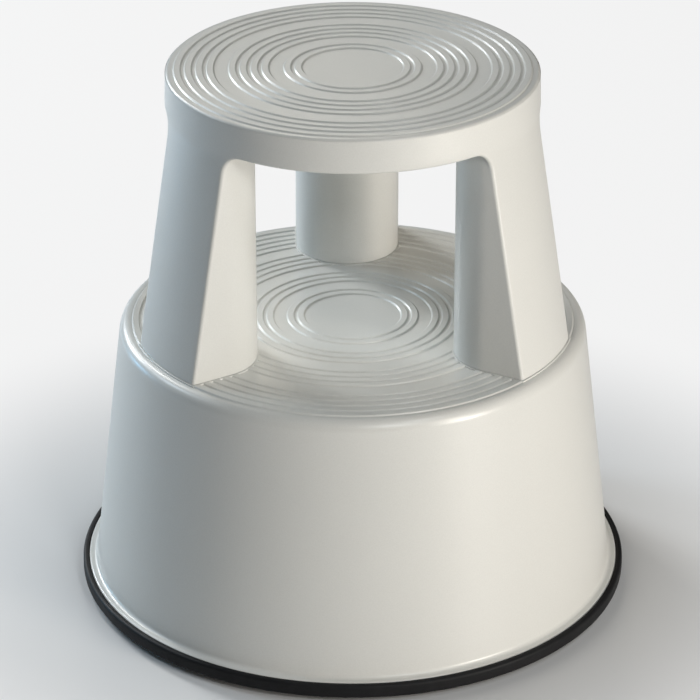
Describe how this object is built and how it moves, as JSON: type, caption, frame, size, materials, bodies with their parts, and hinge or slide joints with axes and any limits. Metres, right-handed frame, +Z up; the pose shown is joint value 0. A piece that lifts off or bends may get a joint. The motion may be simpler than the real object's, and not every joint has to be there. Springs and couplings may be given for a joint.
{
  "type": "kick step stool",
  "caption": "Round two-level plastic kick stool: top step on hollow legs over a conical base, rubber floor ring and sprung swivel castors that sink under load.",
  "frame": {"origin": "on the floor plane under the wheels, at the middle of the round base", "axes": "+Z up through both steps; +Y towards the single rear leg, so the window between the two front legs faces -Y"},
  "size_m": [0.44, 0.44, 0.435],
  "materials": {
    "shell_plastic": "satin moulded, light grey",
    "ring_rubber": "satin black",
    "castor_nylon": "moulded, dark grey",
    "wheel_nylon": "moulded, mid grey",
    "tyre_rubber": "matt, non-marking",
    "spring_steel": "oiled spring wire",
    "zinc_steel": "zinc plated"
  },
  "bodies": {
    "stool": {"upper_step": "shell_plastic", "base_shell": "shell_plastic", "floor_ring": "ring_rubber", "leg_1_screw_1": "zinc_steel", "leg_1_screw_2": "zinc_steel", "leg_2_screw_1": "zinc_steel", "leg_2_screw_2": "zinc_steel", "leg_3_screw_1": "zinc_steel", "leg_3_screw_2": "zinc_steel", "castor_1_bush": "castor_nylon", "castor_1_spring": "spring_steel", "castor_2_bush": "castor_nylon", "castor_2_spring": "spring_steel", "castor_3_bush": "castor_nylon", "castor_3_spring": "spring_steel"},
    "castor_1_slider": {"castor_1_plunger": "castor_nylon"},
    "castor_1_swivel": {"castor_1_stem": "zinc_steel", "castor_1_clip": "spring_steel", "castor_1_fork": "castor_nylon", "castor_1_axle": "zinc_steel"},
    "castor_1_wheel": {"castor_1_hub": "wheel_nylon", "castor_1_tyre": "tyre_rubber"},
    "castor_2_slider": {"castor_2_plunger": "castor_nylon"},
    "castor_2_swivel": {"castor_2_stem": "zinc_steel", "castor_2_clip": "spring_steel", "castor_2_fork": "castor_nylon", "castor_2_axle": "zinc_steel"},
    "castor_2_wheel": {"castor_2_hub": "wheel_nylon", "castor_2_tyre": "tyre_rubber"},
    "castor_3_slider": {"castor_3_plunger": "castor_nylon"},
    "castor_3_swivel": {"castor_3_stem": "zinc_steel", "castor_3_clip": "spring_steel", "castor_3_fork": "castor_nylon", "castor_3_axle": "zinc_steel"},
    "castor_3_wheel": {"castor_3_hub": "wheel_nylon", "castor_3_tyre": "tyre_rubber"}
  },
  "joints": [
    {"name": "castor_1_travel", "type": "slide", "parent": "stool", "child": "castor_1_slider", "axis": [0, 0, 1], "range_m": [0, 0.005], "stiffness_N_per_m": 2500, "springref_m": -0.01, "deforming": ["castor_1_spring"]},
    {"name": "castor_1_turn", "type": "hinge", "parent": "castor_1_slider", "child": "castor_1_swivel", "pos_m": [0.1299, 0.075, 0.047], "axis": [0, 0, 1], "continuous": true},
    {"name": "castor_1_roll", "type": "hinge", "parent": "castor_1_swivel", "child": "castor_1_wheel", "pos_m": [0.11951, 0.069, 0.02], "axis": [-0.5, 0.866, 0], "continuous": true},
    {"name": "castor_2_travel", "type": "slide", "parent": "stool", "child": "castor_2_slider", "axis": [0, 0, 1], "range_m": [0, 0.005], "stiffness_N_per_m": 2500, "springref_m": -0.01, "deforming": ["castor_2_spring"]},
    {"name": "castor_2_turn", "type": "hinge", "parent": "castor_2_slider", "child": "castor_2_swivel", "pos_m": [-0.1299, 0.075, 0.047], "axis": [0, 0, 1], "continuous": true},
    {"name": "castor_2_roll", "type": "hinge", "parent": "castor_2_swivel", "child": "castor_2_wheel", "pos_m": [-0.11951, 0.069, 0.02], "axis": [-0.5, -0.866, 0], "continuous": true},
    {"name": "castor_3_travel", "type": "slide", "parent": "stool", "child": "castor_3_slider", "axis": [0, 0, 1], "range_m": [0, 0.005], "stiffness_N_per_m": 2500, "springref_m": -0.01, "deforming": ["castor_3_spring"]},
    {"name": "castor_3_turn", "type": "hinge", "parent": "castor_3_slider", "child": "castor_3_swivel", "pos_m": [0, -0.15, 0.047], "axis": [0, 0, 1], "continuous": true},
    {"name": "castor_3_roll", "type": "hinge", "parent": "castor_3_swivel", "child": "castor_3_wheel", "pos_m": [0, -0.138, 0.02], "axis": [1, 0, 0], "continuous": true}
  ]
}
